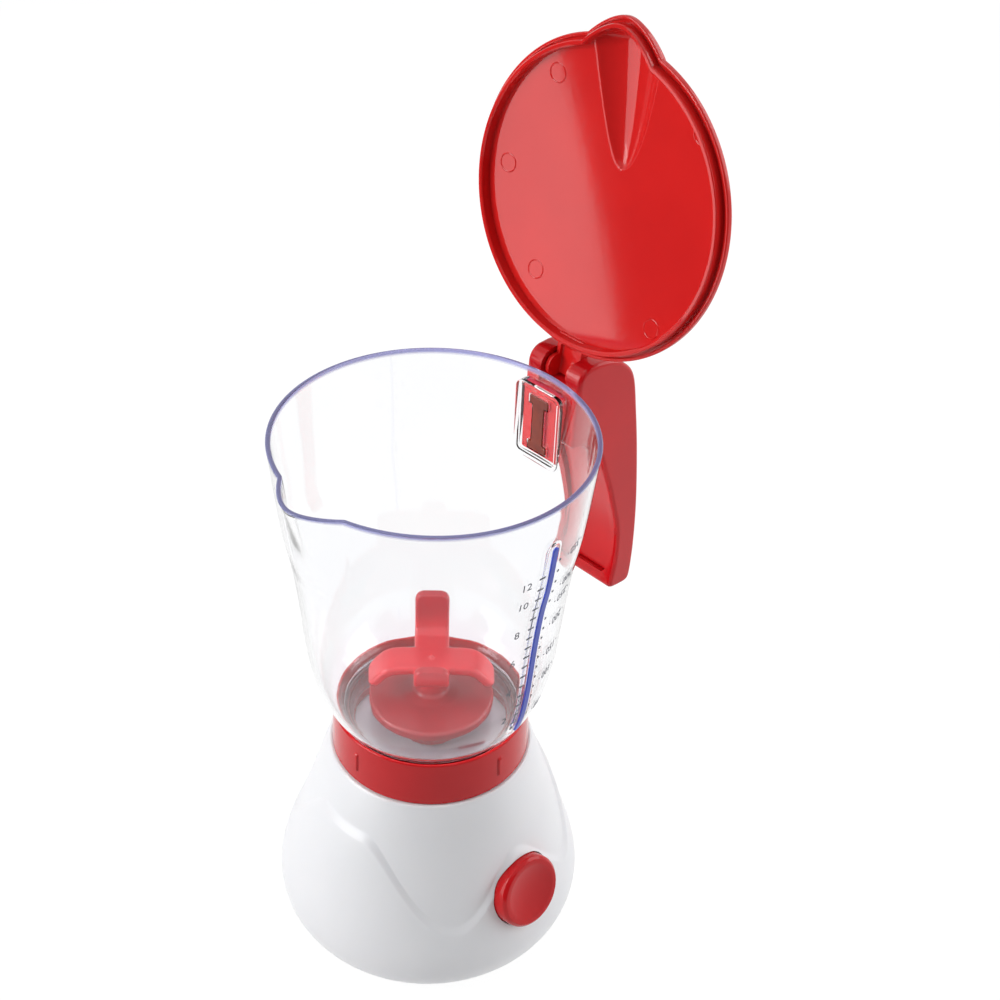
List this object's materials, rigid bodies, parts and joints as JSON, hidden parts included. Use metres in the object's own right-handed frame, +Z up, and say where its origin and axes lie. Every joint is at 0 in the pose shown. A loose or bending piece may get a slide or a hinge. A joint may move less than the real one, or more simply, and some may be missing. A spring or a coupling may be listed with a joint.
{
  "type": "toy blender",
  "caption": "Toy blender: round white motor housing with a push button, clear lift-off jug with spout, handle and scale, hinged lid and bladed rotor driven by a battery gear train.",
  "frame": {"origin": "centre of the resting face of the base", "axes": "+Z up, -Y front with the push button, +X towards the handle, -X towards the pouring spout"},
  "size_m": [0.1372, 0.1022, 0.296],
  "materials": {
    "white_plastic": "glossy",
    "red_plastic": "glossy",
    "blade_plastic": "satin",
    "clear_plastic": "clear",
    "blue_plastic": "glossy",
    "nylon": "satin",
    "black_plastic": "satin",
    "steel": "bright",
    "brass": "bright",
    "rubber": "matt",
    "battery_green": "satin",
    "wire_red": "satin",
    "wire_yellow": "satin",
    "wire_black": "satin"
  },
  "bodies": {
    "base": {"base_shell": "white_plastic", "collar_ring": "red_plastic", "base_plate": "white_plastic", "battery_door": "white_plastic", "battery_door_screw": "steel", "base_screw_1": "steel", "base_screw_2": "steel", "base_screw_3": "steel", "base_screw_4": "steel", "front_battery": "battery_green", "rear_battery": "battery_green", "contact_bridge": "steel", "contact_plus": "steel", "contact_minus": "steel", "gearbox_frame": "nylon", "gearbox_screw_1": "steel", "gearbox_screw_2": "steel", "gearbox_screw_3": "steel", "gearbox_screw_4": "steel", "motor": "steel", "motor_screw_1": "steel", "motor_screw_2": "steel", "idler_pin": "steel", "lower_bush": "brass", "upper_bush": "brass", "button_spring": "steel", "switch_plate": "nylon", "switch_screw_1": "steel", "switch_screw_2": "steel", "switch": "black_plastic", "wire_red": "wire_red", "wire_yellow": "wire_yellow", "wire_black": "wire_black"},
    "drive": {"drive_gear": "nylon", "drive_shaft": "steel", "drive_dog": "red_plastic"},
    "idler": {"idler_gear": "nylon"},
    "motor_rotor": {"motor_shaft": "steel", "motor_pinion": "brass"},
    "push_button": {"button": "red_plastic", "switch_plunger": "black_plastic"},
    "jug": {"jug_body": "clear_plastic", "level_strip": "blue_plastic", "handle_shell": "red_plastic", "handle_cover": "red_plastic", "jug_bush": "nylon", "shaft_seal": "rubber"},
    "blade": {"blade_rotor": "blade_plastic", "blade_shaft": "steel", "jug_coupler": "red_plastic"},
    "lid": {"lid": "red_plastic"}
  },
  "joints": [
    {"name": "jug_lift", "type": "slide", "parent": "base", "child": "jug", "axis": [0, 0, 1], "range_m": [0, 0.06]},
    {"name": "lid_hinge", "type": "hinge", "parent": "jug", "child": "lid", "pos_m": [0.0538, 0, 0.19025], "axis": [0, 1, 0], "range_deg": [-98.3, 0]},
    {"name": "button_press", "type": "slide", "parent": "base", "child": "push_button", "axis": [0, 0.9563, -0.2924], "range_m": [0, 0.003], "stiffness_N_per_m": 300, "springref_m": -0.002, "deforming": ["button_spring"]},
    {"name": "drive_spin", "type": "hinge", "parent": "base", "child": "drive", "pos_m": [0, 0, 0.062], "axis": [0, 0, 1], "continuous": true},
    {"name": "idler_spin", "type": "hinge", "parent": "base", "child": "idler", "pos_m": [-0.01267, 0.01222, 0.06], "axis": [0, 0, 1], "continuous": true},
    {"name": "motor_spin", "type": "hinge", "parent": "base", "child": "motor_rotor", "pos_m": [-0.023, 0, 0.058], "axis": [0, 0, 1], "continuous": true},
    {"name": "blade_spin", "type": "hinge", "parent": "jug", "child": "blade", "pos_m": [0, 0, 0.09], "axis": [0, 0, 1], "continuous": true}
  ],
  "couplings": [
    {"joint": "idler_spin", "follows": "drive_spin", "ratio": -2.6667},
    {"joint": "motor_spin", "follows": "drive_spin", "ratio": 8},
    {"joint": "blade_spin", "follows": "drive_spin", "ratio": 1}
  ]
}
